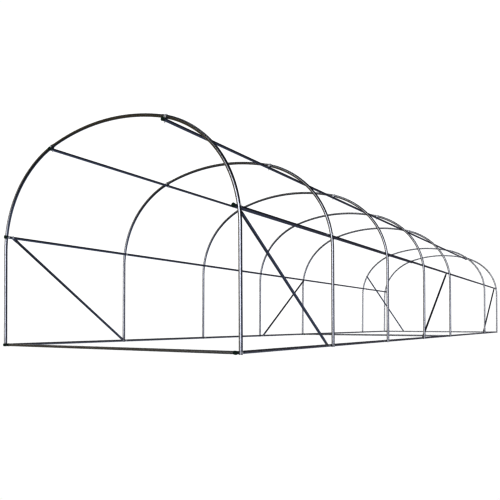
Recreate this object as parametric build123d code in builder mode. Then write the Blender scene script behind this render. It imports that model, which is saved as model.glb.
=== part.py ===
"""Bare steel frame of a polytunnel greenhouse, in millimetres.

X runs across the tunnel, Y along it and Z up. The origin is on the ground in the
middle of the footprint. Seven tube hoops stand on an even pitch, with one place
left empty. Ground rails, side rails, shoulder purlins, cross rails and braces tie
them. Each hoop is two bent sides and a crown that slips inside both.
"""
import math
import os

from build123d import *

# Layout of the tunnel. Stations are counted in pitches from the front, and each wall
# brace runs from its first station down to its second
tunnel_length = 12000.0
tunnel_width = 3000.0
pitch_count = 7
hoop_stations = (0, 1, 2, 3, 4, 6, 7)
rail_stations = (0, 2, 4, 6, 7)
cross_rail_stations = (0, 4, 7)
front_brace_stations = (0, 1)
middle_brace_stations = (4, 3)
rear_brace_stations = (7, 6)

# Centreline of one half of a hoop, from the foot up to the ridge, in degrees
leg_lean = 0.33
spring_height = 1000.0
haunch_bend = 1000.0
haunch_angle = 46.5
shoulder_bend = 1180.0
shoulder_angle = 27.0

# Tubes. Long bends are drawn with eight flats, and the rails seat flat against them
flats = 8
side_tube = 30.0
side_wall = 1.5
rail_tube = 25.0
rail_wall = 1.2
slip = 0.3
seat = 0.3

# Lapped joint between a side and the crown, centred on the shoulder purlin
purlin_angle = 18.4
lap_length = 80.0
socket_relief = 6.0

# Rails and their necked joints
ground_rail_height = 15.0
side_rail_height = 1155.0
rail_overhang = 34.0
neck_length = 60.0
neck_relief = 4.0

# Braces, with both ends pressed flat into a tab and bolted
brace_offset = 48.0
brace_foot_rise = 5.0
tab_thickness = 4.0
tab_width = 32.0
tab_length = 30.0
tab_taper = 45.0
tab_corner = 1.0
rear_brace_elevation = 28.0
rear_brace_foot = 950.0

# Plastic cups on the rail ends and at the ends of the cross rails
cup_wall = 1.4
cup_end = 3.0
cap_grip = 15.0
cap_rim = 18.0
socket_grip = 21.0

# What follows from the sizes above
bay_pitch = tunnel_length / pitch_count
half_width = tunnel_width / 2
half_length = tunnel_length / 2
side_radius = side_tube / 2
side_bore = side_radius - side_wall
crown_radius = side_bore - slip
rail_radius = rail_tube / 2
rail_bore = rail_radius - rail_wall
neck_radius = rail_bore - slip
cup_bore = rail_radius + slip
cup_radius = cup_bore + cup_wall
crown_angle = 90 - leg_lean - haunch_angle - shoulder_angle
lap_half = math.degrees(lap_length / 2 / shoulder_bend)
lap_top = purlin_angle - lap_half
lap_bottom = purlin_angle + lap_half


def polar(centre, radius, elevation):
    """Point at a radius from a centre, at an elevation in degrees above +X."""
    turn = math.radians(elevation)
    return (centre[0] + radius * math.cos(turn), centre[1] + radius * math.sin(turn))


def station(count):
    """Y of a place counted in pitches from the front hoop."""
    return count * bay_pitch - half_length


# Centres of the bends on the right half, each bend tangent to the one before
spring = (half_width - spring_height * math.tan(math.radians(leg_lean)), spring_height)
haunch_centre = polar(spring, -haunch_bend, leg_lean)
haunch_end = polar(haunch_centre, haunch_bend, leg_lean + haunch_angle)
shoulder_centre = polar(haunch_end, -shoulder_bend, leg_lean + haunch_angle)
shoulder_end = polar(shoulder_centre, shoulder_bend, 90 - crown_angle)
crown_bend = shoulder_end[0] / math.sin(math.radians(crown_angle))

# Centres of the rails on the right half, all on the inner side of the hoops
inset = side_radius + seat + rail_radius
side_rail_elevation = math.degrees(
    math.asin((side_rail_height - haunch_centre[1]) / haunch_bend)
)
side_rail_place = polar(haunch_centre, haunch_bend - inset, side_rail_elevation)
purlin_place = polar(shoulder_centre, shoulder_bend - inset, 90 - purlin_angle)
ground_lean = ground_rail_height * math.tan(math.radians(leg_lean))
ground_rail_place = (half_width - ground_lean - inset, ground_rail_height)

os.makedirs("parts", exist_ok=True)


def save(piece, name):
    """Label a finished piece and write it."""
    piece.label = name
    export_step(piece, f"parts/{name}.step")


def save_pair(piece, name):
    """Write a piece of the right half and its mirror image on the left."""
    save(piece, f"{name}_right")
    save(mirror(piece, about=Plane.YZ), f"{name}_left")


def tube_outline(radius, mode=Mode.ADD):
    """Outline of a tube, radius from the centre to its flats, flats facing its axes."""
    return RegularPolygon(radius, flats, major_radius=False, rotation=180 / flats, mode=mode)


def across(origin, direction):
    """Plane square to a hoop's centreline, with its X along the tunnel."""
    return Plane(origin=origin, x_dir=(0, 1, 0), z_dir=direction)


def rail_plane(x, y, z, elevation):
    """Plane square to the tunnel's length, turned so that a flat faces the hoop."""
    facing = polar((0, 0), 1, elevation)
    return Plane(origin=(x, y, z), x_dir=(facing[0], 0, facing[1]), z_dir=(0, 1, 0))


def hoop_side(y):
    """Right side of a hoop: leg, haunch and shoulder in one tube with an open top."""
    hoop_plane = Plane.XZ.offset(-y)
    ground_cut = side_tube
    foot = (half_width + ground_cut * math.tan(math.radians(leg_lean)), -ground_cut)
    mouth = polar(shoulder_centre, shoulder_bend, 90 - lap_top)
    downhill = polar((0, 0), 1, -lap_top)
    depth = math.degrees((lap_length + socket_relief) / shoulder_bend)
    with BuildLine(hoop_plane) as path:
        leg = Line(foot, spring)
        haunch = JernArc(leg @ 1, leg % 1, haunch_bend, haunch_angle)
        JernArc(haunch @ 1, haunch % 1, shoulder_bend, shoulder_angle + crown_angle - lap_top)
    with BuildLine(hoop_plane) as socket:
        JernArc(mouth, downhill, shoulder_bend, -depth)
    with BuildPart() as side:
        with BuildSketch(across(path.line @ 0, path.line % 0)):
            tube_outline(side_radius)
        sweep(path=path.line)
        with BuildSketch(across(socket.line @ 0, socket.line % 0)):
            tube_outline(side_bore)
        sweep(path=socket.line, mode=Mode.SUBTRACT)
        split(bisect_by=Plane.XY, keep=Keep.TOP)
    return side.part


def hoop_crown(y):
    """Crown of a hoop, whose two ends slip inside the sides."""
    start = polar(shoulder_centre, shoulder_bend, 90 - lap_bottom)
    uphill = polar((0, 0), 1, 180 - lap_bottom)
    tip = lap_bottom - crown_angle
    with BuildLine(Plane.XZ.offset(-y)) as path:
        right = JernArc(start, uphill, shoulder_bend, tip)
        top = JernArc(right @ 1, right % 1, crown_bend, 2 * crown_angle)
        JernArc(top @ 1, top % 1, shoulder_bend, tip)
    with BuildPart() as crown:
        with BuildSketch(across(path.line @ 0, path.line % 0)):
            tube_outline(crown_radius)
        sweep(path=path.line)
    return crown.part


def rail(place, elevation):
    """Tubes end to end along the tunnel, each necked to slip into the next.

    Each neck's middle lies at a hoop, so that the bolt there goes through both tubes.
    """
    half_neck = neck_length / 2
    with BuildPart() as run:
        for first, last in zip(rail_stations, rail_stations[1:]):
            at_front = first == rail_stations[0]
            at_back = last == rail_stations[-1]
            start_y = station(first) - (rail_overhang if at_front else half_neck - seat)
            end_y = station(last) + (rail_overhang if at_back else -half_neck)
            start = rail_plane(place[0], start_y, place[1], elevation)
            with BuildSketch(start):
                tube_outline(rail_radius)
            extrude(amount=end_y - start_y)
            if not at_front:
                with BuildSketch(start):
                    tube_outline(rail_bore)
                extrude(amount=neck_length + neck_relief, mode=Mode.SUBTRACT)
            if not at_back:
                with BuildSketch(start.offset(end_y - start_y)):
                    tube_outline(neck_radius)
                extrude(amount=neck_length)
    return run.part


def cup(mouth, grip, rim=0.0):
    """Plastic cup over a tube's end, from its mouth to its closed end."""
    with BuildPart() as shell:
        with BuildSketch(mouth):
            tube_outline(cup_radius)
        extrude(amount=grip + cup_end)
        if rim:
            with BuildSketch(mouth.offset(grip)):
                tube_outline(rim)
            extrude(amount=cup_end)
        with BuildSketch(mouth):
            tube_outline(cup_bore)
        extrude(amount=grip, mode=Mode.SUBTRACT)
    return shell.part


def together(pieces):
    """One node of several like solids that don't touch."""
    with BuildPart() as group:
        add(pieces)
    return group.part


def end_caps(end):
    """Caps on the six rail ends at the front (-1) or the back (1)."""
    mouth_y = end * (half_length + rail_overhang + slip - cap_grip)
    caps = []
    for place, elevation, rim in (
        (ground_rail_place, leg_lean, 0.0),
        (side_rail_place, side_rail_elevation, cap_rim),
        (purlin_place, 90 - purlin_angle, cap_rim),
    ):
        facing = polar((0, 0), 1, elevation)
        for side in (-1, 1):
            mouth = Plane(
                origin=(side * place[0], mouth_y, place[1]),
                x_dir=(side * facing[0], 0, facing[1]),
                z_dir=(0, end, 0),
            )
            caps.append(cup(mouth, cap_grip, rim))
    return together(caps)


# Cross rails run between the inner flats of the ground rails, each end in a socket
ground_rail_face = ground_rail_place[0] - rail_radius - seat
cross_rail_half = ground_rail_face - cup_end - slip


def cross_rail(y):
    """Tube across the tunnel on the ground, in the plane of a hoop."""
    middle = Plane(origin=(0, y, ground_rail_height), x_dir=(0, 1, 0), z_dir=(1, 0, 0))
    with BuildPart() as bar:
        with BuildSketch(middle):
            tube_outline(rail_radius)
        extrude(amount=cross_rail_half, both=True)
    return bar.part


def cross_rail_sockets(y):
    """The two cups that hold a cross rail against the ground rails."""
    mouth_x = ground_rail_face - cup_end - socket_grip
    sockets = []
    for side in (-1, 1):
        mouth = Plane(
            origin=(side * mouth_x, y, ground_rail_height), x_dir=(0, 1, 0), z_dir=(side, 0, 0)
        )
        sockets.append(cup(mouth, socket_grip))
    return together(sockets)


def eight_corners(half_x, half_y, cut):
    """Rectangle with its corners cut, so that a pressed tab lofts into a tube."""
    return Polygon(
        (half_x, half_y - cut),
        (half_x - cut, half_y),
        (cut - half_x, half_y),
        (-half_x, half_y - cut),
        (-half_x, cut - half_y),
        (cut - half_x, -half_y),
        (half_x - cut, -half_y),
        (half_x, cut - half_y),
    )


def brace(top, top_normal, foot, foot_normal, foot_turned=False):
    """Tube whose ends are pressed into tabs and bent to lie flat on what they join.

    top and foot are the bolt points, in the middle of the tabs, and the normals point
    away from what each tab lies on. A turned foot is pressed a quarter turn round.
    """
    half_tab = tab_width / 2
    top_way = (foot - top) - top_normal * (foot - top).dot(top_normal)
    top_way = top_way.normalized()
    foot_way = (foot - top) - foot_normal * (foot - top).dot(foot_normal)
    foot_way = foot_way.normalized()
    top_bend = top + top_way * tab_length
    foot_bend = foot - foot_way * tab_length
    axis = (foot_bend - top_bend).normalized()
    round_cut = rail_radius * (1 - math.tan(math.pi / flats))
    tube = (rail_radius, rail_radius, round_cut)
    tab = (tab_thickness / 2, half_tab, tab_corner)
    turned_tab = (half_tab, tab_thickness / 2, tab_corner)
    foot_tab = turned_tab if foot_turned else tab
    foot_side = foot_way.cross(foot_normal) if foot_turned else foot_normal
    with BuildPart() as bar:
        for centre, side, way, section in (
            (top - top_way * half_tab, top_normal, top_way, tab),
            (top_bend, top_normal, top_way + axis, tab),
            (top_bend + axis * tab_taper, top_normal, axis, tube),
            (foot_bend - axis * tab_taper, top_normal, axis, tube),
            (foot_bend, foot_side, foot_way + axis, foot_tab),
            (foot + foot_way * half_tab, foot_side, foot_way, foot_tab),
        ):
            with BuildSketch(Plane(origin=centre, x_dir=side, z_dir=way)):
                eight_corners(*section)
        loft(ruled=True)
        for bolt, inward, normal in (
            (top, top_way, top_normal),
            (foot, foot_way * -1, foot_normal),
        ):
            with BuildSketch(Plane(origin=bolt, x_dir=inward, z_dir=normal)):
                Rectangle(tab_width, 2 * tab_width, align=(Align.MAX, Align.CENTER))
                tube_outline(half_tab, mode=Mode.SUBTRACT)
            extrude(amount=tab_thickness, both=True, mode=Mode.SUBTRACT)
    return bar.part


def in_hoop_plane(place, y):
    """Point given by its X and Z in the plane of a hoop."""
    return Vector(place[0], y, place[1])


def wall_brace(top_station, foot_station):
    """Brace on the right wall, from one hoop's side rail down to the next hoop's foot."""
    towards_foot = math.copysign(brace_offset, foot_station - top_station)
    off_rail = rail_radius + seat + tab_thickness / 2
    top = polar(side_rail_place, -off_rail, side_rail_elevation)
    foot = polar(ground_rail_place, -off_rail, leg_lean)
    raised_foot = (foot[0], foot[1] + brace_foot_rise)
    return brace(
        in_hoop_plane(top, station(top_station) + towards_foot),
        in_hoop_plane(polar((0, 0), -1, side_rail_elevation), 0),
        in_hoop_plane(raised_foot, station(foot_station) - towards_foot),
        in_hoop_plane(polar((0, 0), -1, leg_lean), 0),
    )


def rear_left_brace():
    """Brace from the inside of hoop 6's left haunch down to the rear cross rail."""
    off_hoop = side_radius + seat + tab_thickness / 2
    off_rail = rail_radius + seat + tab_thickness / 2
    x, z = polar(haunch_centre, haunch_bend - off_hoop, rear_brace_elevation)
    inward = polar((0, 0), 1, 180 - rear_brace_elevation)
    top_normal = Vector(-inward[0], 0, -inward[1])
    foot_normal = Vector(0, 1, 1).normalized()
    rail_centre = Vector(-rear_brace_foot, station(cross_rail_stations[-1]), ground_rail_height)
    return brace(
        Vector(-x, station(hoop_stations[-2]), z),
        top_normal,
        rail_centre + foot_normal * off_rail,
        foot_normal,
        foot_turned=True,
    )


def build():
    """Make every piece and write it."""
    for number, count in enumerate(hoop_stations, start=1):
        save_pair(hoop_side(station(count)), f"hoop_{number}_side")
        save(hoop_crown(station(count)), f"hoop_{number}_crown")
    save_pair(rail(ground_rail_place, leg_lean), "ground_rail")
    save_pair(rail(side_rail_place, side_rail_elevation), "side_rail")
    save_pair(rail(purlin_place, 90 - purlin_angle), "shoulder_purlin")
    for name, count in zip(("front", "middle", "rear"), cross_rail_stations):
        save(cross_rail(station(count)), f"cross_rail_{name}")
        save(cross_rail_sockets(station(count)), f"cross_rail_sockets_{name}")
    save(end_caps(-1), "end_caps_front")
    save(end_caps(1), "end_caps_rear")
    save_pair(wall_brace(*front_brace_stations), "brace_front")
    save_pair(wall_brace(*middle_brace_stations), "brace_middle")
    save(wall_brace(*rear_brace_stations), "brace_rear_right")
    save(rear_left_brace(), "brace_rear_left")


build()
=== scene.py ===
"""Tube frame of a polytunnel greenhouse, dressed in galvanised steel and green plastic.

Metres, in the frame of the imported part: X across the tunnel, Y along it from the front
hoop to the rear one, Z up from the ground. Each operator builds one kind of piece.
"""
import math
from types import SimpleNamespace

import bmesh
import bpy
from bpy.props import FloatProperty, FloatVectorProperty, IntProperty, PointerProperty
from bpy.types import Operator, Panel, PropertyGroup
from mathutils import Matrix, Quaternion, Vector


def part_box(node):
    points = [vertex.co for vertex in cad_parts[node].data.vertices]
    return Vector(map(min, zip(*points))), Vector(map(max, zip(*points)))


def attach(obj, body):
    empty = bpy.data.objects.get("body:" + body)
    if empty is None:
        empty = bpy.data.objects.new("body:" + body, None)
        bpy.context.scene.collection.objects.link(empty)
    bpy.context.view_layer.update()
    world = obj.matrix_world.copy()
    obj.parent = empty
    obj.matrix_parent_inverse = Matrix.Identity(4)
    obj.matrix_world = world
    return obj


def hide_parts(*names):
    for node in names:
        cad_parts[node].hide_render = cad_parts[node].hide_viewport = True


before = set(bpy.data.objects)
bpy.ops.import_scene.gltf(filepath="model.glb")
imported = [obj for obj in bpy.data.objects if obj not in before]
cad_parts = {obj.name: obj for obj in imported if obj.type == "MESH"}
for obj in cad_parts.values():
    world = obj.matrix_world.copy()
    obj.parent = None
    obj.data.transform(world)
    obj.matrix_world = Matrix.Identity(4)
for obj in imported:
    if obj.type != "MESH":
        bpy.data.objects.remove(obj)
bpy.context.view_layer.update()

bl_info = {
    "name": "Polytunnel Frame",
    "version": (1, 0, 0),
    "blender": (4, 5, 0),
    "location": "View3D > Sidebar > Tunnel",
    "description": "Tube frame of a polytunnel greenhouse with its bolts, caps and studio",
    "category": "Add Mesh",
}

BODY = "root"
# Sign of X on each side, the axes across and along the tunnel, and the kinds of rail
SIDES = {"right": 1, "left": -1}
ACROSS = Vector((1, 0, 0))
ALONG = Vector((0, 1, 0))
RAIL_NAMES = ("ground_rail", "side_rail", "shoulder_purlin")
CROSS_RAIL_NAMES = ("front", "middle", "rear")

# Hoops are counted from 0 at the front. A wall brace has the hoops of its top and of its
# foot, and its side
CROSS_RAIL_HOOPS = (0, 4, 6)
NECKED_HOOPS = (2, 4, 5)
WALL_BRACES = (
    ("brace_front_right", 0, 1, 1),
    ("brace_front_left", 0, 1, -1),
    ("brace_middle_right", 4, 3, 1),
    ("brace_middle_left", 4, 3, -1),
    ("brace_rear_right", 6, 5, 1),
)

# Clearances, rounded edges, depths and grain, in metres
FIT = 0.0003
CUT_CHAMFER = 0.0003
CUP_EDGE = 0.0007
NUT_CHAMFER = 0.0008
BORE_DEPTH = 0.020
THREAD_PITCH = 0.001
GRAIN_HEIGHT = 0.0001
FLOOR_RADIUS = 150.0

# Faces round tubes, threads and nuts, rings along what bends or tapers, and the bend
# between two faces from which their edge is shaded sharp
TUBE_FACETS = 28
THREAD_FACETS = 12
NUT_FACETS = 6
LEG_RINGS = 8
TAPER_RINGS = 6
TAB_RINGS = 6
BEND_RINGS = 4
BRACE_RINGS = 10
STRAP_RINGS = 12
SHARP_EDGE = math.radians(38)

# Roundness of a flat section, and how far into a tab's rounded tip its first ring lies
FLAT = 0.30
TIP_START = 0.35

# Turns of the bolts about their axes, in radians, so that no two heads match
TURN_STEP = 0.7
WALL_BRACE_TURNS = (0.4, 2.4)
REAR_BRACE_TURNS = (0.3, 0.9)

# What the steel reflects: strength, colour, facing from the front towards the right, spread
# and soft edge in degrees, then the heights between which each light fades in from below and
# out above, as the sine of the elevation
SOFTBOXES = {
    "key": (1.6, (1.0, 1.0, 1.04), 20.0, 23.0, 35.0, (-0.45, -0.02), (0.35, 0.70)),
    "over_key": (0.7, (1.0, 1.0, 1.0), 0.0, 15.0, 20.0, (0.10, 0.28), (0.45, 0.65)),
    "left_rear": (0.9, (1.0, 1.0, 1.0), -113.0, 8.0, 12.0, (-0.20, 0.10), (0.50, 0.80)),
    "overhead": (0.9, (1.0, 1.0, 1.0), -40.0, 90.0, 30.0, (0.92, 0.98), (2.0, 3.0)),
    "warm_left": (0.20, (1.0, 0.85, 0.48), -80.0, 28.0, 35.0, (-0.90, -0.50), (0.50, 0.80)),
    "rear_wall": (0.14, (1.0, 0.93, 1.12), 180.0, 55.0, 45.0, (-0.60, -0.30), (0.10, 0.40)),
    "rear_ground": (0.24, (0.80, 0.94, 1.25), 180.0, 60.0, 45.0, (-3.0, -2.0), (-0.50, -0.25)),
    "cool_right": (0.16, (0.67, 0.92, 1.40), 95.0, 30.0, 30.0, (-0.90, -0.60), (-0.20, 0.20)),
}
HORIZON_BLUR = 0.06


def length(name, description, default):
    """Length setting in metres."""
    return FloatProperty(
        name=name, description=description, default=default, min=0.0, precision=4, unit="LENGTH"
    )


def angle(name, description, degrees):
    """Angle setting, shown in degrees."""
    return FloatProperty(
        name=name, description=description, default=math.radians(degrees), subtype="ANGLE"
    )


def factor(name, description, default, high=1.0):
    """Plain number setting from nothing up to a limit."""
    return FloatProperty(name=name, description=description, default=default, min=0.0, max=high)


def colour(name, description, default):
    """Linear colour setting."""
    return FloatVectorProperty(
        name=name, description=description, default=default, min=0.0, max=1.0, subtype="COLOR"
    )


class TunnelHoopSettings(PropertyGroup):
    """Tubes and bends of the hoops."""

    side_tube: length("Side tube", "Outside diameter of the bent side tubes", 0.030)
    side_wall: length("Side wall", "Wall of the hoop tubes", 0.0015)
    slip: length("Slip", "Clearance round a tube inside another", 0.0003)
    leg_lean: angle("Leg lean", "How far the legs lean in as they rise", 0.33)
    spring_height: length("Spring height", "Height where the leg starts to bend", 1.0)
    haunch_bend: length("Haunch bend", "Radius of the lower bend", 1.0)
    haunch_angle: angle("Haunch angle", "Turn of the lower bend", 46.5)
    shoulder_bend: length("Shoulder bend", "Radius of the upper bend", 1.18)
    shoulder_angle: angle("Shoulder angle", "Turn of the upper bend", 27.0)
    lap_length: length("Lap length", "How far the crown slips into each side", 0.080)
    bend_step: angle("Bend step", "Turn between two rings of a bend", 1.5)
    facets: IntProperty(name="Facets", description="Faces round a tube", default=TUBE_FACETS, min=8)


class TunnelRailSettings(PropertyGroup):
    """Tubes of the rails and braces."""

    rail_tube: length("Rail tube", "Outside diameter of the rails and braces", 0.025)
    rail_wall: length("Rail wall", "Wall of the rails and braces", 0.0012)
    neck_length: length("Neck length", "How far a necked end slips into the next tube", 0.060)
    neck_taper: length("Neck taper", "Length over which a tube narrows to its neck", 0.006)
    tab_thickness: length("Tab thickness", "Thickness of a brace's pressed end", 0.004)
    tab_width: length("Tab width", "Width of a brace's pressed end", 0.032)
    tab_length: length("Tab length", "From the bolt to where a pressed end bends", 0.030)
    tab_taper: length("Tab taper", "Length over which a brace flattens", 0.045)
    brace_offset: length("Brace offset", "From a hoop to the bolt of a brace", 0.048)
    brace_foot_rise: length("Brace foot rise", "Height of a brace's lower bolt on its rail", 0.005)
    rear_brace_elevation: angle("Rear brace elevation", "Place of its top on the haunch", 28.0)
    rear_brace_foot: length("Rear brace foot", "From the middle to its lower bolt", 0.950)


class TunnelHardwareSettings(PropertyGroup):
    """Bolts and plastic fittings."""

    bolt: length("Bolt", "Diameter of the bolts", 0.006)
    head_width: length("Head width", "Bolt head and nut across flats", 0.010)
    head_height: length("Head height", "Height of a bolt head", 0.0042)
    nut_height: length("Nut height", "Height of a nut", 0.0052)
    thread_out: length("Thread out", "How far a bolt stands out of its nut", 0.007)
    washer: length("Washer", "Outside diameter of the washers", 0.020)
    washer_thickness: length("Washer thickness", "Thickness of the washers", 0.0018)
    strap_width: length("Strap width", "Width of the straps over the purlin joints", 0.026)
    strap_thickness: length("Strap thickness", "Thickness of those straps", 0.0015)
    cup_wall: length("Cup wall", "Wall of the plastic cups", 0.0014)
    cup_end: length("Cup end", "Thickness of a cup's closed end", 0.003)
    cap_grip: length("Cap grip", "How far a cap covers its rail", 0.015)
    cap_rim: length("Cap rim", "Radius of a cap's rim", 0.018)
    socket_grip: length("Socket grip", "How far a socket covers its cross rail", 0.021)


class TunnelFinishSettings(PropertyGroup):
    """Colours and roughness."""

    zinc: colour("Zinc", "Bright zinc", (0.68, 0.69, 0.71))
    zinc_dark: colour("Dark zinc", "Darker crystals of the zinc", (0.61, 0.62, 0.65))
    oxide: colour("Oxide", "Dull, weathered zinc", (0.59, 0.60, 0.62))
    steel_roughness: factor("Steel roughness", "Roughness of clean zinc", 0.26)
    bolt_colour: colour("Bolts", "Plated bolts, washers and straps", (0.80, 0.81, 0.83))
    bolt_roughness: factor("Bolt roughness", "Roughness of clean bolts", 0.32)
    dirt: colour("Dirt", "Dried soil splashed up from the ground", (0.09, 0.08, 0.065))
    plastic: colour("Plastic", "Green plastic", (0.022, 0.125, 0.085))
    plastic_worn: colour("Worn plastic", "Scuffed green plastic", (0.06, 0.19, 0.145))
    plastic_roughness: factor("Plastic roughness", "Roughness of clean plastic", 0.42)


class TunnelStudioSettings(PropertyGroup):
    """Camera and light."""

    lens: FloatProperty(name="Lens", description="Focal length", default=39.736, unit="CAMERA")
    camera_turn: angle("Camera turn", "Turn of the camera from the tunnel's length", 32.694)
    camera_x: FloatProperty(
        name="Camera X", description="Camera from the tunnel's middle", default=3.8489, unit="LENGTH"
    )
    camera_back: length("Camera back", "Camera in front of the front hoop", 3.529)
    camera_height: length("Camera height", "Camera above the ground", 0.2414)
    rise: factor("Rise", "Share of the picture that the lens is shifted up", 0.14675)
    softboxes: factor("Softboxes", "Strength of all softboxes", 1.0, high=2.0)
    white: factor("White", "Strength of the white room", 1.05, high=2.0)
    floor_light: factor("Floor light", "Brightness of the floor", 1.02, high=2.0)
    gamma: factor("Gamma", "Gamma of the finished picture", 0.5)
    sky: colour("Sky", "What the steel reflects from above", (0.040, 0.042, 0.052))
    ground: colour("Ground", "What the steel reflects from below", (0.040, 0.040, 0.040))


def out(elevation):
    """Unit vector at an elevation above +X, in the plane of a hoop."""
    return Vector((math.cos(elevation), 0, math.sin(elevation)))


def elevation_of(vector):
    """Elevation of a vector in the plane of a hoop."""
    return math.atan2(vector.z, vector.x)


def middle(node):
    """Middle of a node's box."""
    low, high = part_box(node)
    return (low + high) / 2


def mirrored(vector, side):
    """Vector on the side asked for, given the one on the right."""
    return Vector((vector.x * side, vector.y, vector.z))


HOOP_COUNT = sum(name.endswith("_crown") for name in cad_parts)
HOOP_Y = [middle(f"hoop_{number}_crown").y for number in range(1, HOOP_COUNT + 1)]


def hoop_line(hoops):
    """Centres, radii and angles of the right half of a hoop, as drawn in the part."""
    half_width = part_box("hoop_1_side_right")[1].x - hoops.side_tube / 2
    line = SimpleNamespace(lean=hoops.leg_lean)
    line.foot = Vector((half_width, 0, 0))
    spring_x = half_width - hoops.spring_height * math.tan(hoops.leg_lean)
    line.spring = Vector((spring_x, 0, hoops.spring_height))
    line.haunch_centre = line.spring - out(line.lean) * hoops.haunch_bend
    line.haunch_top = line.lean + hoops.haunch_angle
    haunch_end = line.haunch_centre + out(line.haunch_top) * hoops.haunch_bend
    line.shoulder_centre = haunch_end - out(line.haunch_top) * hoops.shoulder_bend
    line.shoulder_top = line.haunch_top + hoops.shoulder_angle
    shoulder_end = line.shoulder_centre + out(line.shoulder_top) * hoops.shoulder_bend
    line.crown_bend = shoulder_end.x / math.cos(line.shoulder_top)
    line.crown_centre = shoulder_end - out(line.shoulder_top) * line.crown_bend
    purlin = middle("shoulder_purlin_right")
    purlin.y = 0
    lap_middle = elevation_of(purlin - line.shoulder_centre)
    half_lap = hoops.lap_length / 2 / hoops.shoulder_bend
    line.lap = (lap_middle - half_lap, lap_middle + half_lap)
    return line


def bend(centre, radius, start, end, step):
    """Places along a bend, each a point and the elevation that it faces."""
    count = max(2, round(abs(end - start) / step))
    angles = [start + (end - start) * index / count for index in range(count + 1)]
    return [(centre + out(turn) * radius, turn) for turn in angles]


def side_places(hoops, line):
    """Places from the foot of a side tube up to its open top."""
    leg = [(line.foot.lerp(line.spring, index / LEG_RINGS), line.lean) for index in range(LEG_RINGS)]
    haunch = bend(
        line.haunch_centre, hoops.haunch_bend, line.lean, line.haunch_top, hoops.bend_step
    )
    shoulder = bend(
        line.shoulder_centre, hoops.shoulder_bend, line.haunch_top, line.lap[1], hoops.bend_step
    )
    return leg + haunch + shoulder[1:]


def crown_places(hoops, line):
    """Places along a crown tube, from inside one side to inside the other."""
    shoulder = bend(
        line.shoulder_centre, hoops.shoulder_bend, line.lap[0], line.shoulder_top, hoops.bend_step
    )
    crown = bend(
        line.crown_centre, line.crown_bend, line.shoulder_top, math.pi / 2, hoops.bend_step
    )
    right = shoulder + crown[1:]
    left = [(mirrored(point, -1), math.pi - turn) for point, turn in reversed(right[:-1])]
    return right + left


def section(place, half_x, half_y=None, roundness=1.0, facets=TUBE_FACETS):
    """Points round a tube at a place. Roundness 1 is an ellipse, and less is boxier."""
    centre, way, side = place
    across = way.cross(side)
    half_y = half_x if half_y is None else half_y
    points = []
    for index in range(facets):
        turn = 2 * math.pi * index / facets
        x = math.copysign(abs(math.cos(turn)) ** roundness, math.cos(turn)) * half_x
        y = math.copysign(abs(math.sin(turn)) ** roundness, math.sin(turn)) * half_y
        points.append(centre + side * x + across * y)
    return points


def skin(mesh, rings):
    """Closed surface over rings of points, with UVs in metres round and along it."""
    uv = mesh.loops.layers.uv.verify()
    loops = [[mesh.verts.new(point) for point in points] for points in rings]
    count = len(loops[0])
    along = 0.0
    for first, second in zip(loops, loops[1:]):
        girth = sum((first[index].co - first[index - 1].co).length for index in range(count))
        width = girth / count
        step = sum((a.co - b.co).length for a, b in zip(first, second)) / count
        for index in range(count):
            after = (index + 1) % count
            face = mesh.faces.new((first[index], first[after], second[after], second[index]))
            corners = ((index, 0), (index + 1, 0), (index + 1, step), (index, step))
            for loop, (turn, rise) in zip(face.loops, corners):
                loop[uv].uv = (turn * width, along + rise)
        along += step
    for end in (loops[0][::-1], loops[-1]):
        face = mesh.faces.new(end)
        for loop in face.loops:
            loop[uv].uv = (loop.vert.co.x + loop.vert.co.y, loop.vert.co.z + loop.vert.co.y)


def mouth(radius, bore, depth):
    """Distances in from a tube's cut end, with radii, from inside its bore to its outside."""
    return [
        (depth, bore),
        (CUT_CHAMFER, bore),
        (0, bore + CUT_CHAMFER),
        (0, radius - CUT_CHAMFER),
        (CUT_CHAMFER, radius),
    ]


def lathe(mesh, place, profile, facets=TUBE_FACETS):
    """Turned form on an axis. The profile lists distances along the axis and radii."""
    centre, way, side = place
    places = [(centre + way * at, way, side) for at, _ in profile]
    skin(mesh, [section(ring, radius, facets=facets) for ring, (_, radius) in zip(places, profile)])


def swept(mesh, places, radius, bore, facets):
    """Tube along places, with both ends cut and open."""
    ends = mouth(radius, bore, BORE_DEPTH)
    first_centre, first_way, first_side = places[0]
    last_centre, last_way, last_side = places[-1]
    rings = [
        section((first_centre + first_way * at, first_way, first_side), size, facets=facets)
        for at, size in ends
    ]
    rings += [section(place, radius, facets=facets) for place in places[1:-1]]
    rings += [
        section((last_centre - last_way * at, last_way, last_side), size, facets=facets)
        for at, size in reversed(ends)
    ]
    skin(mesh, rings)


def finished(name, mesh, finish, *nodes):
    """Make an object of closed meshes, which rides on the part and stands for its nodes."""
    bmesh.ops.recalc_face_normals(mesh, faces=mesh.faces)
    data = bpy.data.meshes.new(name)
    mesh.to_mesh(data)
    mesh.free()
    data.shade_smooth()
    data.set_sharp_from_angle(angle=SHARP_EDGE)
    data.materials.append(bpy.data.materials[finish])
    piece = bpy.data.objects.new(name, data)
    bpy.context.scene.collection.objects.link(piece)
    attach(piece, BODY)
    if nodes:
        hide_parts(*nodes)


def hoop_places(stops, y, side=1):
    """Places along a hoop tube from its points and elevations on the right."""
    places = []
    for point, turn in stops:
        facing = mirrored(out(turn), side)
        way = mirrored(Vector((-math.sin(turn), 0, math.cos(turn))), side)
        places.append((mirrored(point, side) + ALONG * y, way, facing))
    return places


def rail_places(name, line):
    """Node, middle line and outward direction of each rail of a kind, the right one first."""
    bends = {"side_rail": line.haunch_centre, "shoulder_purlin": line.shoulder_centre}
    centre = middle(f"{name}_right")
    centre.y = 0
    facing = (centre - bends[name]).normalized() if name in bends else out(line.lean)
    for side_name, side in SIDES.items():
        yield f"{name}_{side_name}", mirrored(centre, side), mirrored(facing, side)


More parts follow.
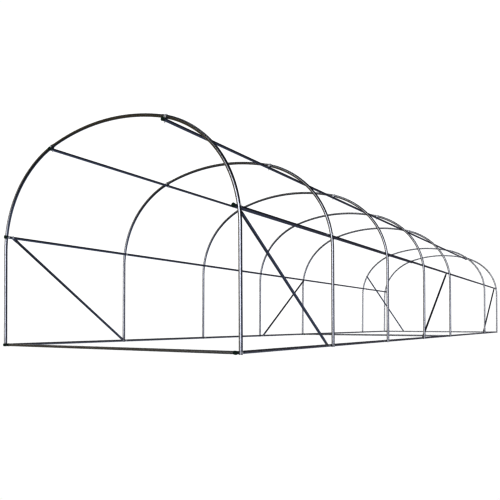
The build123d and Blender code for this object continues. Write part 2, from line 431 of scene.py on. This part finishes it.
def rail_profile(first, last, is_last, rails):
    """Profile of one tube of a rail, from its front end to its back end."""
    radius = rails.rail_tube / 2
    bore = radius - rails.rail_wall
    neck = bore - FIT
    neck_bore = neck - rails.rail_wall
    depth = rails.neck_length + rails.neck_taper
    profile = [(first + at, size) for at, size in mouth(radius, bore, depth)]
    if is_last:
        return profile + [(last - at, size) for at, size in reversed(mouth(radius, bore, depth))]
    for index in range(TAPER_RINGS + 1):
        share = index / TAPER_RINGS
        narrowed = radius + (neck - radius) * smooth(share)
        profile.append((last - rails.neck_taper * (1 - share), narrowed))
    tip = last + rails.neck_length
    return profile + [(tip - at, size) for at, size in reversed(mouth(neck, neck_bore, depth))]


def smooth(share):
    """Share eased in and out."""
    return share * share * (3 - 2 * share)


def cup_profile(bore, hardware, grip, rim=0.0):
    """Profile of a plastic cup, from inside its closed end, over its mouth and back."""
    radius = bore + hardware.cup_wall
    soft = CUP_EDGE
    wide = max(rim, radius)
    end = grip + hardware.cup_end
    profile = [(grip, bore), (soft, bore), (0, bore + soft), (0, radius - soft), (soft, radius)]
    if rim:
        profile += [(grip - soft, radius), (grip, radius + soft), (grip, rim - soft), (grip + soft, rim)]
    return profile + [(end - 2 * soft, wide), (end - soft / 2, wide - soft), (end, wide - 2 * soft)]


def bolt(mesh, point, way, head_at, nut_at, hardware, turn):
    """Bolt through a joint. Its head is outward, and its nut, if there is one, inward."""
    side = way.orthogonal().normalized()
    side = (Quaternion(way, turn) @ side).normalized()
    corner = hardware.head_width / 2 / math.cos(math.pi / 6)
    washer = hardware.washer / 2
    thick = hardware.washer_thickness
    cut = NUT_CHAMFER
    shank = hardware.bolt / 2
    ends = ((head_at, 1, hardware.head_height), (nut_at, -1, hardware.nut_height))
    for start, facing, height in ends:
        if start is None:
            continue
        place = (point + way * start, way * facing, side)
        lathe(mesh, place, [(0, washer), (thick - cut / 2, washer), (thick, washer - cut / 2)])
        nut = (point + way * (start + facing * thick), way * facing, side)
        profile = [(0, corner), (height - cut, corner), (height, corner - cut)]
        lathe(mesh, nut, profile, facets=NUT_FACETS)
        if facing < 0:
            base = (point + way * (start - thick - height), way * facing, side)
            ridges = range(int(hardware.thread_out / THREAD_PITCH))
            profile = [
                ((index + step) * THREAD_PITCH, shank - drop)
                for index in ridges
                for step, drop in ((0, THREAD_PITCH / 2), (0.5, 0))
            ]
            profile.append((hardware.thread_out, shank - THREAD_PITCH))
            lathe(mesh, base, profile, facets=THREAD_FACETS)


def brace_ends(bolt_point, way, axis, normal, rails):
    """Sections of a brace's pressed end, from its rounded tip to the round tube.

    Each is a place and its two half sizes and roundness. The side is square to the tab.
    """
    half_tab = rails.tab_width / 2
    radius = rails.rail_tube / 2
    thin = rails.tab_thickness / 2
    corner = bolt_point + way * rails.tab_length
    soft = rails.tab_length / 3
    sections = []
    for index in range(TAB_RINGS):
        turn = math.pi / 2 * (index + TIP_START) / (TAB_RINGS - 1 + TIP_START)
        centre = bolt_point - way * half_tab * math.cos(turn)
        half_x = thin if index else thin / 2
        sections.append((centre, way, half_x, half_tab * math.sin(turn), FLAT))
    for index in range(BEND_RINGS + 1):
        share = index / BEND_RINGS
        start = corner - way * soft
        end = corner + axis * soft
        centre = start.lerp(corner, share).lerp(corner.lerp(end, share), share)
        heading = way.lerp(axis, share).normalized()
        sections.append((centre, heading, thin, half_tab, FLAT))
    rings = 2 * TAPER_RINGS
    for index in range(1, rings + 1):
        share = smooth(index / rings)
        centre = corner + axis * (soft + (rails.tab_taper - soft) * index / rings)
        half_x = thin + (radius - thin) * share
        half_y = half_tab + (radius - half_tab) * share
        sections.append((centre, axis, half_x, half_y, FLAT + (1 - FLAT) * share))
    return [
        (centre, heading, (normal - heading * normal.dot(heading)).normalized(), *rest)
        for centre, heading, *rest in sections
    ]


def build_brace(mesh, top, top_normal, foot, foot_normal, rails, foot_turned=False):
    """Brace with both ends pressed flat, each lying on what it is bolted to."""
    span = foot - top
    top_way = (span - top_normal * span.dot(top_normal)).normalized()
    foot_way = (span - foot_normal * span.dot(foot_normal)).normalized()
    axis = foot - foot_way * rails.tab_length - top - top_way * rails.tab_length
    axis.normalize()
    rings = []
    for *place, half_x, half_y, roundness in brace_ends(top, top_way, axis, top_normal, rails):
        rings.append(section(place, half_x, half_y, roundness))
    top_centre, _, top_side = place
    foot_rings = []
    foot_ends = brace_ends(foot, -foot_way, -axis, foot_normal, rails)
    for centre, way, side, half_x, half_y, roundness in foot_ends:
        sizes = (half_y, half_x) if foot_turned else (half_x, half_y)
        side = (-way).cross(side) if foot_turned else side
        foot_rings.append(section((centre, -way, side), *sizes, roundness))
    for index in range(1, BRACE_RINGS):
        share = index / BRACE_RINGS
        turned = top_side.lerp(side, share)
        turned = (turned - axis * turned.dot(axis)).normalized()
        rings.append(section((top_centre.lerp(centre, share), axis, turned), rails.rail_tube / 2))
    skin(mesh, rings + foot_rings[::-1])


def feed(tree, socket, value):
    """Link an output to a socket, or give the socket a value of its own."""
    if isinstance(value, bpy.types.NodeSocket):
        tree.links.new(value, socket)
    else:
        socket.default_value = value


def math_node(tree, operation, *values, clamp=False):
    """Output of a Math node over outputs or numbers."""
    node = tree.nodes.new("ShaderNodeMath")
    node.operation = operation
    node.use_clamp = clamp
    for socket, value in zip(node.inputs, values):
        feed(tree, socket, value)
    return node.outputs[0]


def vector_node(tree, operation, *values):
    """Output of a Vector Math node over outputs or values."""
    node = tree.nodes.new("ShaderNodeVectorMath")
    node.operation = operation
    for socket, value in zip((socket for socket in node.inputs if socket.enabled), values):
        feed(tree, socket, value)
    return node.outputs["Value" if operation == "DOT_PRODUCT" else "Vector"]


def parted(tree, vector):
    """Outputs X, Y and Z of a vector."""
    node = tree.nodes.new("ShaderNodeSeparateXYZ")
    tree.links.new(vector, node.inputs["Vector"])
    return node.outputs


def eased(tree, value, low, high, to_low=0.0, to_high=1.0):
    """Output of a smooth Map Range node."""
    node = tree.nodes.new("ShaderNodeMapRange")
    node.interpolation_type = "SMOOTHSTEP"
    feed(tree, node.inputs["Value"], value)
    for socket, number in zip(node.inputs[1:5], (low, high, to_low, to_high)):
        socket.default_value = number
    return node.outputs["Result"]


def new_group(name, inputs, outputs):
    """Shader node group with its sockets and its two end nodes."""
    group = bpy.data.node_groups.new(name, "ShaderNodeTree")
    for socket, kind, default in inputs:
        made = group.interface.new_socket(name=socket, in_out="INPUT", socket_type=kind)
        if default is not None:
            made.default_value = default
    for socket, kind in outputs:
        group.interface.new_socket(name=socket, in_out="OUTPUT", socket_type=kind)
    return group, group.nodes.new("NodeGroupInput"), group.nodes.new("NodeGroupOutput")


def use_group(tree, name, **values):
    """Group node placed in a material, with its own values."""
    node = tree.nodes.new("ShaderNodeGroup")
    node.node_tree = bpy.data.node_groups[name]
    for socket, value in values.items():
        node.inputs[socket].default_value = value
    return node


def noise(tree, vector, scale, detail=2.0, roughness=0.5):
    """Output of a Noise node."""
    node = tree.nodes.new("ShaderNodeTexNoise")
    tree.links.new(vector, node.inputs["Vector"])
    node.inputs["Scale"].default_value = scale
    node.inputs["Detail"].default_value = detail
    node.inputs["Roughness"].default_value = roughness
    return node.outputs["Fac"]


def make_crystal_group():
    """Crystals that molten zinc leaves on steel, each of its own shade."""
    group, start, end = new_group(
        "zinc_crystals",
        [("Vector", "NodeSocketVector", None), ("Size", "NodeSocketFloat", 0.006)],
        [("Shade", "NodeSocketFloat"), ("Height", "NodeSocketFloat")],
    )
    scale = math_node(group, "DIVIDE", 1.0, start.outputs["Size"])
    cells = group.nodes.new("ShaderNodeTexVoronoi")
    group.links.new(start.outputs["Vector"], cells.inputs["Vector"])
    group.links.new(scale, cells.inputs["Scale"])
    cell = group.nodes.new("ShaderNodeSeparateColor")
    group.links.new(cells.outputs["Color"], cell.inputs["Color"])
    fine = noise(group, start.outputs["Vector"], scale=900.0)
    cell_share = 0.65
    shade = math_node(group, "MULTIPLY", cell.outputs["Red"], cell_share)
    shade = math_node(group, "MULTIPLY_ADD", fine, 1 - cell_share, shade)
    group.links.new(shade, end.inputs["Shade"])
    group.links.new(cells.outputs["Distance"], end.inputs["Height"])


def make_draw_line_group():
    """Fine lines that drawing and rolling leave along a tube, from its own UVs."""
    group, start, end = new_group(
        "draw_lines",
        [
            ("UV", "NodeSocketVector", None),
            ("Round", "NodeSocketFloat", 1400.0),
            ("Along", "NodeSocketFloat", 9.0),
        ],
        [("Line", "NodeSocketFloat")],
    )
    parts = parted(group, start.outputs["UV"])
    stretched = group.nodes.new("ShaderNodeCombineXYZ")
    for axis, direction in (("X", "Round"), ("Y", "Along")):
        finer = math_node(group, "MULTIPLY", parts[axis], start.outputs[direction])
        group.links.new(finer, stretched.inputs[axis])
    line = noise(group, stretched.outputs["Vector"], scale=1.0, detail=3.0)
    group.links.new(line, end.inputs["Line"])


def make_weather_group():
    """Dull patches of old zinc, and dirt splashed up from the ground."""
    group, start, end = new_group(
        "weather",
        [
            ("Vector", "NodeSocketVector", None),
            ("Splash Height", "NodeSocketFloat", 0.10),
            ("Thickest Dirt", "NodeSocketFloat", 0.5),
        ],
        [("Dull", "NodeSocketFloat"), ("Dirt", "NodeSocketFloat")],
    )
    place = start.outputs["Vector"]
    patches = noise(group, place, scale=7.0, detail=4.0, roughness=0.6)
    streaks = noise(group, place, scale=60.0, detail=3.0, roughness=0.6)
    both = math_node(group, "MULTIPLY", patches, streaks)
    group.links.new(eased(group, both, low=0.26, high=0.42), end.inputs["Dull"])
    rise = math_node(group, "DIVIDE", parted(group, place)["Z"], start.outputs["Splash Height"])
    near = math_node(group, "SUBTRACT", 1.0, rise, clamp=True)
    specks = noise(group, place, scale=90.0, detail=4.0, roughness=0.7)
    dirt = math_node(group, "MULTIPLY", near, eased(group, specks, low=0.36, high=0.70))
    dirt = math_node(group, "MULTIPLY", dirt, start.outputs["Thickest Dirt"])
    group.links.new(dirt, end.inputs["Dirt"])


def mix_colour(tree, share, first, second):
    """Output of a colour mix whose colours are outputs or values."""
    node = tree.nodes.new("ShaderNodeMix")
    node.data_type = "RGBA"
    tree.links.new(share, node.inputs["Factor"])
    for socket, value in ((node.inputs[6], first), (node.inputs[7], second)):
        linked = isinstance(value, bpy.types.NodeSocket)
        feed(tree, socket, value if linked else (*value, 1.0))
    return node.outputs[2]


def new_material(name):
    """Tree, Principled shader and texture coordinates of a new material."""
    material = bpy.data.materials.new(name)
    material.use_nodes = True
    tree = material.node_tree
    tree.nodes.clear()
    shader = tree.nodes.new("ShaderNodeBsdfPrincipled")
    surface = tree.nodes.new("ShaderNodeOutputMaterial")
    tree.links.new(shader.outputs["BSDF"], surface.inputs["Surface"])
    return tree, shader, tree.nodes.new("ShaderNodeTexCoord")


def bump(tree, shader, height, strength):
    """Bump node feeding the shader's Normal."""
    node = tree.nodes.new("ShaderNodeBump")
    node.inputs["Strength"].default_value = strength
    node.inputs["Distance"].default_value = GRAIN_HEIGHT
    tree.links.new(height, node.inputs["Height"])
    tree.links.new(node.outputs["Normal"], shader.inputs["Normal"])


def make_steel(name, finish, bright, dark, roughness, crystal_size, metal):
    """Zinc-coated steel with crystals, drawing lines, dull patches and dirt.

    Dirt takes away from how metallic it is, and each effect adds its share of roughness.
    """
    tree, shader, place = new_material(name)
    crystals = use_group(tree, "zinc_crystals", Size=crystal_size)
    lines = use_group(tree, "draw_lines")
    weather = use_group(tree, "weather")
    tree.links.new(place.outputs["Object"], crystals.inputs["Vector"])
    tree.links.new(place.outputs["UV"], lines.inputs["UV"])
    tree.links.new(place.outputs["Object"], weather.inputs["Vector"])
    base = mix_colour(tree, crystals.outputs["Shade"], bright, dark)
    base = mix_colour(tree, weather.outputs["Dull"], base, finish.oxide)
    base = mix_colour(tree, weather.outputs["Dirt"], base, finish.dirt)
    tree.links.new(base, shader.inputs["Base Color"])
    rough = roughness
    for share, effect in (
        (crystals.outputs["Shade"], 0.05),
        (lines.outputs["Line"], 0.03),
        (weather.outputs["Dull"], 0.06),
        (weather.outputs["Dirt"], 0.3),
    ):
        rough = math_node(tree, "MULTIPLY_ADD", share, effect, rough)
    tree.links.new(rough, shader.inputs["Roughness"])
    clean = math_node(tree, "MULTIPLY_ADD", weather.outputs["Dirt"], -metal, metal)
    tree.links.new(clean, shader.inputs["Metallic"])
    line_height = 0.5
    relief = math_node(
        tree, "MULTIPLY_ADD", lines.outputs["Line"], line_height, crystals.outputs["Height"]
    )
    bump(tree, shader, relief, strength=0.05)


def make_plastic(finish):
    """Moulded green plastic with a fine grain and scuffs."""
    tree, shader, place = new_material("green_plastic")
    grain = noise(tree, place.outputs["Object"], scale=1800.0)
    scratches = noise(tree, place.outputs["Object"], scale=120.0, detail=5.0, roughness=0.7)
    scuffs = eased(tree, scratches, low=0.55, high=0.75)
    base = mix_colour(tree, scuffs, finish.plastic, finish.plastic_worn)
    tree.links.new(base, shader.inputs["Base Color"])
    scuff_roughness = 0.2
    rough = math_node(tree, "MULTIPLY_ADD", scuffs, scuff_roughness, finish.plastic_roughness)
    tree.links.new(rough, shader.inputs["Roughness"])
    bump(tree, shader, grain, strength=0.2)


class TUNNEL_OT_finishes(Operator):
    """Make the steel, bolt and plastic finishes"""

    bl_idname = "tunnel.finishes"
    bl_label = "Finishes"

    def execute(self, context):
        finish = context.scene.tunnel_finish
        make_crystal_group()
        make_draw_line_group()
        make_weather_group()
        tube = (finish.zinc, finish.zinc_dark, finish.steel_roughness)
        make_steel("galvanised_tube", finish, *tube, crystal_size=0.006, metal=1.0)
        plating = (finish.bolt_colour, finish.zinc, finish.bolt_roughness)
        make_steel("plated_bolts", finish, *plating, crystal_size=0.002, metal=0.4)
        make_plastic(finish)
        return {"FINISHED"}


class TUNNEL_OT_hoop_sides(Operator):
    """Build both bent side tubes of every hoop"""

    bl_idname = "tunnel.hoop_sides"
    bl_label = "Hoop Sides"

    def execute(self, context):
        hoops = context.scene.tunnel_hoops
        line = hoop_line(hoops)
        radius = hoops.side_tube / 2
        for number, y in enumerate(HOOP_Y, start=1):
            for side_name, side in SIDES.items():
                mesh = bmesh.new()
                places = hoop_places(side_places(hoops, line), y, side)
                swept(mesh, places, radius, radius - hoops.side_wall, hoops.facets)
                node = f"hoop_{number}_side_{side_name}"
                finished(f"bent_{node}", mesh, "galvanised_tube", node)
        return {"FINISHED"}


class TUNNEL_OT_hoop_crowns(Operator):
    """Build the crown tube of every hoop"""

    bl_idname = "tunnel.hoop_crowns"
    bl_label = "Hoop Crowns"

    def execute(self, context):
        hoops = context.scene.tunnel_hoops
        line = hoop_line(hoops)
        radius = hoops.side_tube / 2 - hoops.side_wall - hoops.slip
        for number, y in enumerate(HOOP_Y, start=1):
            mesh = bmesh.new()
            places = hoop_places(crown_places(hoops, line), y)
            swept(mesh, places, radius, radius - hoops.side_wall, hoops.facets)
            node = f"hoop_{number}_crown"
            finished(f"bent_{node}", mesh, "galvanised_tube", node)
        return {"FINISHED"}


class TUNNEL_OT_rails(Operator):
    """Build the ground rails, side rails and shoulder purlins"""

    bl_idname = "tunnel.rails"
    bl_label = "Rails"

    def execute(self, context):
        rails = context.scene.tunnel_rails
        line = hoop_line(context.scene.tunnel_hoops)
        joints = [HOOP_Y[hoop] - rails.neck_length / 2 for hoop in NECKED_HOOPS]
        for name in RAIL_NAMES:
            for node, centre, facing in rail_places(name, line):
                low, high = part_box(node)
                stops = [low.y, *joints, high.y]
                mesh = bmesh.new()
                start = (centre, ALONG, facing)
                for index, (first, last) in enumerate(zip(stops, stops[1:])):
                    is_last = index == len(stops) - 2
                    first = first if index == 0 else first + FIT
                    lathe(mesh, start, rail_profile(first, last, is_last, rails))
                finished(f"tube_{node}", mesh, "galvanised_tube", node)
        return {"FINISHED"}


class TUNNEL_OT_cross_rails(Operator):
    """Build the cross rails on the ground and their sockets"""

    bl_idname = "tunnel.cross_rails"
    bl_label = "Cross Rails"

    def execute(self, context):
        rails = context.scene.tunnel_rails
        hardware = context.scene.tunnel_hardware
        radius = rails.rail_tube / 2
        for name in CROSS_RAIL_NAMES:
            low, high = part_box(f"cross_rail_{name}")
            centre = middle(f"cross_rail_{name}")
            start = (centre, ACROSS, ALONG)
            ends = mouth(radius, radius - rails.rail_wall, BORE_DEPTH)
            profile = [(low.x + at, size) for at, size in ends]
            profile += [(high.x - at, size) for at, size in reversed(ends)]
            mesh = bmesh.new()
            lathe(mesh, start, profile)
            finished(f"tube_cross_rail_{name}", mesh, "galvanised_tube", f"cross_rail_{name}")
            node = f"cross_rail_sockets_{name}"
            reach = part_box(node)[1].x - hardware.socket_grip - hardware.cup_end
            mesh = bmesh.new()
            for side in SIDES.values():
                socket = (centre + ACROSS * side * reach, ACROSS * side, ALONG)
                lathe(mesh, socket, cup_profile(radius + FIT, hardware, hardware.socket_grip))
            finished(f"moulded_{node}", mesh, "green_plastic", node)
        return {"FINISHED"}


class TUNNEL_OT_end_caps(Operator):
    """Build the plastic caps on the rail ends"""

    bl_idname = "tunnel.end_caps"
    bl_label = "End Caps"

    def execute(self, context):
        rails = context.scene.tunnel_rails
        hardware = context.scene.tunnel_hardware
        line = hoop_line(context.scene.tunnel_hoops)
        bore = rails.rail_tube / 2 + FIT
        for end, corner, name in ((-1, 0, "end_caps_front"), (1, 1, "end_caps_rear")):
            closed_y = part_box(name)[corner].y
            mouth_y = closed_y - end * (hardware.cap_grip + hardware.cup_end)
            mesh = bmesh.new()
            for rail in RAIL_NAMES:
                rim = 0.0 if rail == "ground_rail" else hardware.cap_rim
                for node, centre, facing in rail_places(rail, line):
                    start = (centre + ALONG * mouth_y, ALONG * end, facing)
                    lathe(mesh, start, cup_profile(bore, hardware, hardware.cap_grip, rim))
            finished(f"moulded_{name}", mesh, "green_plastic", name)
        return {"FINISHED"}


def wall_brace_ends(top_hoop, foot_hoop, side, rails, line):
    """Bolt points and normals of a brace on a wall."""
    towards = math.copysign(rails.brace_offset, foot_hoop - top_hoop)
    inward = rails.rail_tube / 2 + FIT + rails.tab_thickness / 2
    ends = []
    for name, hoop, step, rise in (
        ("side_rail", top_hoop, towards, 0.0),
        ("ground_rail", foot_hoop, -towards, rails.brace_foot_rise),
    ):
        _, centre, facing = next(rail_places(name, line))
        point = centre - facing * inward + Vector((0, HOOP_Y[hoop] + step, rise))
        ends += [mirrored(point, side), mirrored(-facing, side)]
    return ends


class TUNNEL_OT_braces(Operator):
    """Build the braces with their pressed ends"""

    bl_idname = "tunnel.braces"
    bl_label = "Braces"

    def execute(self, context):
        scene = context.scene
        rails = scene.tunnel_rails
        line = hoop_line(scene.tunnel_hoops)
        for node, *place in WALL_BRACES:
            mesh = bmesh.new()
            build_brace(mesh, *wall_brace_ends(*place, rails, line), rails)
            finished(f"tube_{node}", mesh, "galvanised_tube", node)
        mesh = bmesh.new()
        build_brace(mesh, *rear_brace_ends(scene, line), rails, foot_turned=True)
        finished("tube_brace_rear_left", mesh, "galvanised_tube", "brace_rear_left")
        return {"FINISHED"}


def rear_brace_ends(scene, line):
    """Bolt points and normals of the brace from the last hoop but one to the rear cross rail."""
    rails = scene.tunnel_rails
    hoops = scene.tunnel_hoops
    half_tab = rails.tab_thickness / 2
    facing = out(rails.rear_brace_elevation)
    reach = hoops.haunch_bend - hoops.side_tube / 2 - FIT - half_tab
    top = line.haunch_centre + facing * reach + ALONG * HOOP_Y[-2]
    lean_back = Vector((0, 1, 1)).normalized()
    foot = middle("cross_rail_rear") + lean_back * (rails.rail_tube / 2 + FIT + half_tab)
    foot.x = -rails.rear_brace_foot
    return mirrored(top, -1), mirrored(-facing, -1), foot, lean_back


class TUNNEL_OT_straps(Operator):
    """Build the bent straps that saddle the hoops over their purlins"""

    bl_idname = "tunnel.straps"
    bl_label = "Straps"

    def execute(self, context):
        scene = context.scene
        hoops, rails, hardware = scene.tunnel_hoops, scene.tunnel_rails, scene.tunnel_hardware
        line = hoop_line(hoops)
        leg = hoops.side_tube / 2
        half_thick = hardware.strap_thickness / 2
        radius = leg + FIT + half_thick
        for node, centre, facing in rail_places("shoulder_purlin", line):
            mesh = bmesh.new()
            for y in HOOP_Y:
                hoop = centre + facing * (rails.rail_tube / 2 + FIT + leg) + ALONG * y
                rings = []
                for index in range(STRAP_RINGS + 1):
                    turn = math.pi * index / STRAP_RINGS
                    outward = ALONG * math.cos(turn) + facing * math.sin(turn)
                    way = facing * math.cos(turn) - ALONG * math.sin(turn)
                    rings.append((hoop + outward * radius, way, outward))
                rings.insert(0, (hoop + ALONG * radius - facing * leg, facing, ALONG))
                rings.append((hoop - ALONG * radius - facing * leg, -facing, -ALONG))
                half_wide = hardware.strap_width / 2
                skin(mesh, [section(ring, half_thick, half_wide, FLAT) for ring in rings])
            finished(f"straps_{node}", mesh, "plated_bolts")
        return {"FINISHED"}


def bolt_rails(scene, line):
    """Bolts of the rails to the hoops. A cross rail's socket leaves no room for a nut."""
    hardware = scene.tunnel_hardware
    rail_radius = scene.tunnel_rails.rail_tube / 2
    over_hoop = rail_radius + FIT + scene.tunnel_hoops.side_tube
    for name in RAIL_NAMES:
        strapped = name == "shoulder_purlin"
        head_at = over_hoop + FIT + hardware.strap_thickness if strapped else over_hoop
        for node, centre, facing in rail_places(name, line):
            mesh = bmesh.new()
            for index, y in enumerate(HOOP_Y):
                in_socket = name == "ground_rail" and index in CROSS_RAIL_HOOPS
                nut_at = None if in_socket else -rail_radius
                point = centre + ALONG * y
                bolt(mesh, point, facing, head_at, nut_at, hardware, index * TURN_STEP)
            finished(f"bolts_{node}", mesh, "plated_bolts")


def bolt_wall_braces(scene, line):
    """Bolts of the braces to the rails of both walls."""
    rails = scene.tunnel_rails
    half_tab = rails.tab_thickness / 2
    nut_at = -(half_tab + FIT + rails.rail_tube)
    for node, *place in WALL_BRACES:
        ends = wall_brace_ends(*place, rails, line)
        mesh = bmesh.new()
        for point, normal, turn in zip(ends[::2], ends[1::2], WALL_BRACE_TURNS):
            bolt(mesh, point, normal, half_tab, nut_at, scene.tunnel_hardware, turn)
        finished(f"bolts_{node}", mesh, "plated_bolts")


def bolt_rear_brace(scene, line):
    """Bolts of the inner brace at the rear, through its hoop and into its cross rail."""
    top, top_normal, foot, foot_normal = rear_brace_ends(scene, line)
    half_tab = scene.tunnel_rails.tab_thickness / 2
    nut_at = -(half_tab + FIT + scene.tunnel_hoops.side_tube)
    top_turn, foot_turn = REAR_BRACE_TURNS
    mesh = bmesh.new()
    bolt(mesh, top, top_normal, half_tab, nut_at, scene.tunnel_hardware, top_turn)
    bolt(mesh, foot, foot_normal, half_tab, None, scene.tunnel_hardware, foot_turn)
    finished("bolts_brace_rear_left", mesh, "plated_bolts")


class TUNNEL_OT_bolts(Operator):
    """Build the bolts, washers and nuts of every joint"""

    bl_idname = "tunnel.bolts"
    bl_label = "Bolts"

    def execute(self, context):
        scene = context.scene
        line = hoop_line(scene.tunnel_hoops)
        bolt_rails(scene, line)
        bolt_wall_braces(scene, line)
        bolt_rear_brace(scene, line)
        return {"FINISHED"}


def softbox(tree, direction, light, colour, facing, spread, soft, low, high):
    """Light of a softbox in a direction: full within its spread, gone past its soft edge."""
    flat = vector_node(tree, "MULTIPLY", direction, (1, 1, 0))
    unit = vector_node(tree, "NORMALIZE", flat)
    turn = math.radians(facing)
    towards = (math.sin(turn), -math.cos(turn), 0)
    nearness = vector_node(tree, "DOT_PRODUCT", unit, towards)
    edges = (math.cos(math.radians(spread + soft)), math.cos(math.radians(spread)))
    across = eased(tree, nearness, *edges)
    height = parted(tree, direction)["Z"]
    over = eased(tree, height, *low)
    under = eased(tree, height, *high, to_low=1.0, to_high=0.0)
    up_and_down = math_node(tree, "MULTIPLY", over, under)
    share = math_node(tree, "MULTIPLY", across, up_and_down)
    share = math_node(tree, "MULTIPLY", share, light)
    return vector_node(tree, "SCALE", colour, share)


def make_world(studio):
    """White room for the camera and for plain surfaces, softboxes in the dark for the steel."""
    world = bpy.data.worlds.new("studio")
    world.use_nodes = True
    world.cycles.sampling_method = "NONE"
    tree = world.node_tree
    tree.nodes.clear()
    direction = tree.nodes.new("ShaderNodeTexCoord").outputs["Generated"]
    above = eased(tree, parted(tree, direction)["Z"], -HORIZON_BLUR, HORIZON_BLUR)
    light = mix_colour(tree, above, studio.ground, studio.sky)
    for strength, *shape in SOFTBOXES.values():
        lit = softbox(tree, direction, strength * studio.softboxes, *shape)
        light = vector_node(tree, "ADD", light, lit)
    reflected = tree.nodes.new("ShaderNodeBackground")
    tree.links.new(light, reflected.inputs["Color"])
    white = tree.nodes.new("ShaderNodeBackground")
    white.inputs["Color"].default_value = (1, 1, 1, 1)
    white.inputs["Strength"].default_value = studio.white
    rays = tree.nodes.new("ShaderNodeLightPath")
    mixed = tree.nodes.new("ShaderNodeMixShader")
    tree.links.new(rays.outputs["Is Glossy Ray"], mixed.inputs["Fac"])
    tree.links.new(white.outputs[0], mixed.inputs[1])
    tree.links.new(reflected.outputs[0], mixed.inputs[2])
    surface = tree.nodes.new("ShaderNodeOutputWorld")
    tree.links.new(mixed.outputs[0], surface.inputs["Surface"])
    bpy.context.scene.world = world


def make_floor(studio):
    """White, evenly lit floor that the steel doesn't mirror."""
    _, shader, _ = new_material("floor")
    shader.inputs["Base Color"].default_value = (0.0, 0.0, 0.0, 1)
    shader.inputs["Roughness"].default_value = 1.0
    shader.inputs["Specular IOR Level"].default_value = 0.0
    shader.inputs["Emission Color"].default_value = (1.0, 1.0, 1.0, 1)
    shader.inputs["Emission Strength"].default_value = studio.floor_light
    mesh = bmesh.new()
    bmesh.ops.create_circle(mesh, cap_ends=True, segments=64, radius=FLOOR_RADIUS)
    data = bpy.data.meshes.new("floor")
    mesh.to_mesh(data)
    mesh.free()
    data.materials.append(bpy.data.materials["floor"])
    floor = bpy.data.objects.new("floor", data)
    floor.visible_glossy = False
    bpy.context.scene.collection.objects.link(floor)


def make_camera(studio):
    """Camera low in front of the tunnel and to its right, held level."""
    data = bpy.data.cameras.new("camera")
    data.sensor_width = 36.0
    data.lens = studio.lens
    data.shift_y = studio.rise
    data.clip_end = 4 * FLOOR_RADIUS
    camera = bpy.data.objects.new("camera", data)
    camera.location = (studio.camera_x, HOOP_Y[0] - studio.camera_back, studio.camera_height)
    camera.rotation_euler = (math.pi / 2, 0, studio.camera_turn)
    bpy.context.scene.collection.objects.link(camera)
    bpy.context.scene.camera = camera


class TUNNEL_OT_studio(Operator):
    """Set up the floor, the light and the camera"""

    bl_idname = "tunnel.studio"
    bl_label = "Studio"

    def execute(self, context):
        studio = context.scene.tunnel_studio
        view = context.scene.view_settings
        view.view_transform = "Standard"
        view.gamma = studio.gamma
        make_world(studio)
        make_floor(studio)
        make_camera(studio)
        return {"FINISHED"}


class TUNNEL_PT_frame(Panel):
    """Sidebar panel with every step and its sizes"""

    bl_label = "Polytunnel Frame"
    bl_space_type = "VIEW_3D"
    bl_region_type = "UI"
    bl_category = "Tunnel"

    def draw(self, context):
        column = self.layout.column()
        for operator in OPERATORS:
            column.operator(operator.bl_idname)
        for settings in SETTINGS:
            group = getattr(context.scene, settings)
            box = column.box()
            for name in group.__annotations__:
                box.prop(group, name)


SETTINGS = {
    "tunnel_hoops": TunnelHoopSettings,
    "tunnel_rails": TunnelRailSettings,
    "tunnel_hardware": TunnelHardwareSettings,
    "tunnel_finish": TunnelFinishSettings,
    "tunnel_studio": TunnelStudioSettings,
}
OPERATORS = (
    TUNNEL_OT_finishes,
    TUNNEL_OT_hoop_sides,
    TUNNEL_OT_hoop_crowns,
    TUNNEL_OT_rails,
    TUNNEL_OT_cross_rails,
    TUNNEL_OT_end_caps,
    TUNNEL_OT_braces,
    TUNNEL_OT_straps,
    TUNNEL_OT_bolts,
    TUNNEL_OT_studio,
)


def register():
    """Register the settings, operators and panel."""
    for group in (*SETTINGS.values(), *OPERATORS, TUNNEL_PT_frame):
        bpy.utils.register_class(group)
    for name, group in SETTINGS.items():
        setattr(bpy.types.Scene, name, PointerProperty(type=group))


def unregister():
    """Take the settings, operators and panel away again."""
    for name in SETTINGS:
        delattr(bpy.types.Scene, name)
    for group in reversed((*SETTINGS.values(), *OPERATORS, TUNNEL_PT_frame)):
        bpy.utils.unregister_class(group)


def main():
    """Register the steps and build every piece."""
    register()
    for operator in OPERATORS:
        getattr(bpy.ops.tunnel, operator.bl_idname.removeprefix("tunnel."))()


if __name__ == "__main__":
    main()
